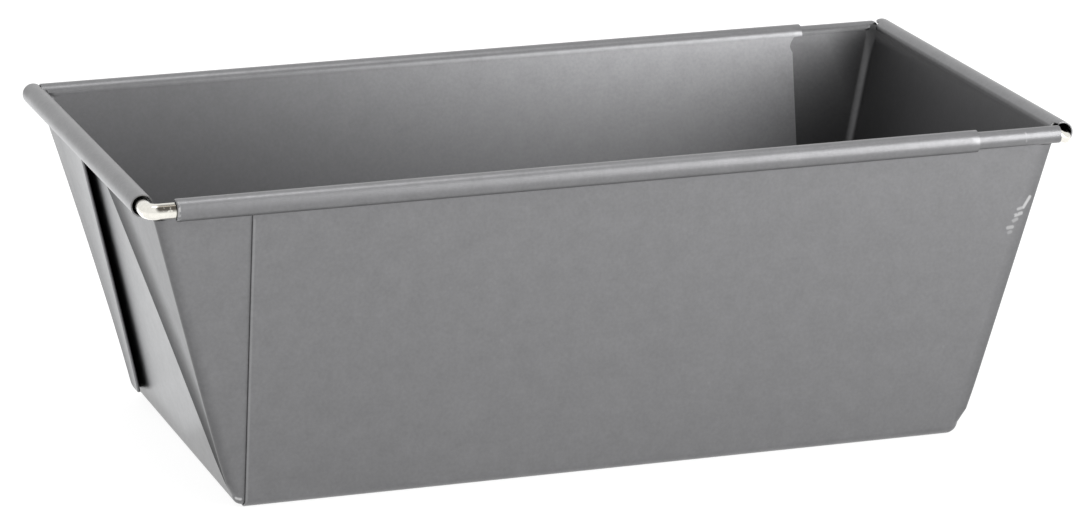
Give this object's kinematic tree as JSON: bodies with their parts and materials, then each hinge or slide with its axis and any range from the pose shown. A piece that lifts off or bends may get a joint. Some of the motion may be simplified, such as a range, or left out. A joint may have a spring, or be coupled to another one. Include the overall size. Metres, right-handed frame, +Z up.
{
  "type": "adjustable loaf pan",
  "caption": "Folded sheet-steel loaf pan that pulls out to a longer length, with rolled rims over steel wire and envelope-folded ends.",
  "frame": {"origin": "on the table, under the middle of the closed pan", "axes": "+X along the pan towards the outer half's closed end, +Y from front to back, +Z up"},
  "size_m": [0.205, 0.1108, 0.0705],
  "materials": {
    "inner_coating": "satin metallic grey non-stick coating with fine speckle",
    "outer_coating": "satin metallic grey non-stick coating with fine speckle",
    "wire_steel": "bright drawn wire"
  },
  "bodies": {
    "outer_half": {"outer_pan": "outer_coating", "outer_rim_wire": "wire_steel"},
    "inner_half": {"inner_pan": "inner_coating", "inner_rim_wire": "wire_steel"}
  },
  "joints": [
    {"name": "pan_slide", "type": "slide", "parent": "outer_half", "child": "inner_half", "axis": [-1, 0, 0], "range_m": [0, 0.13]}
  ]
}
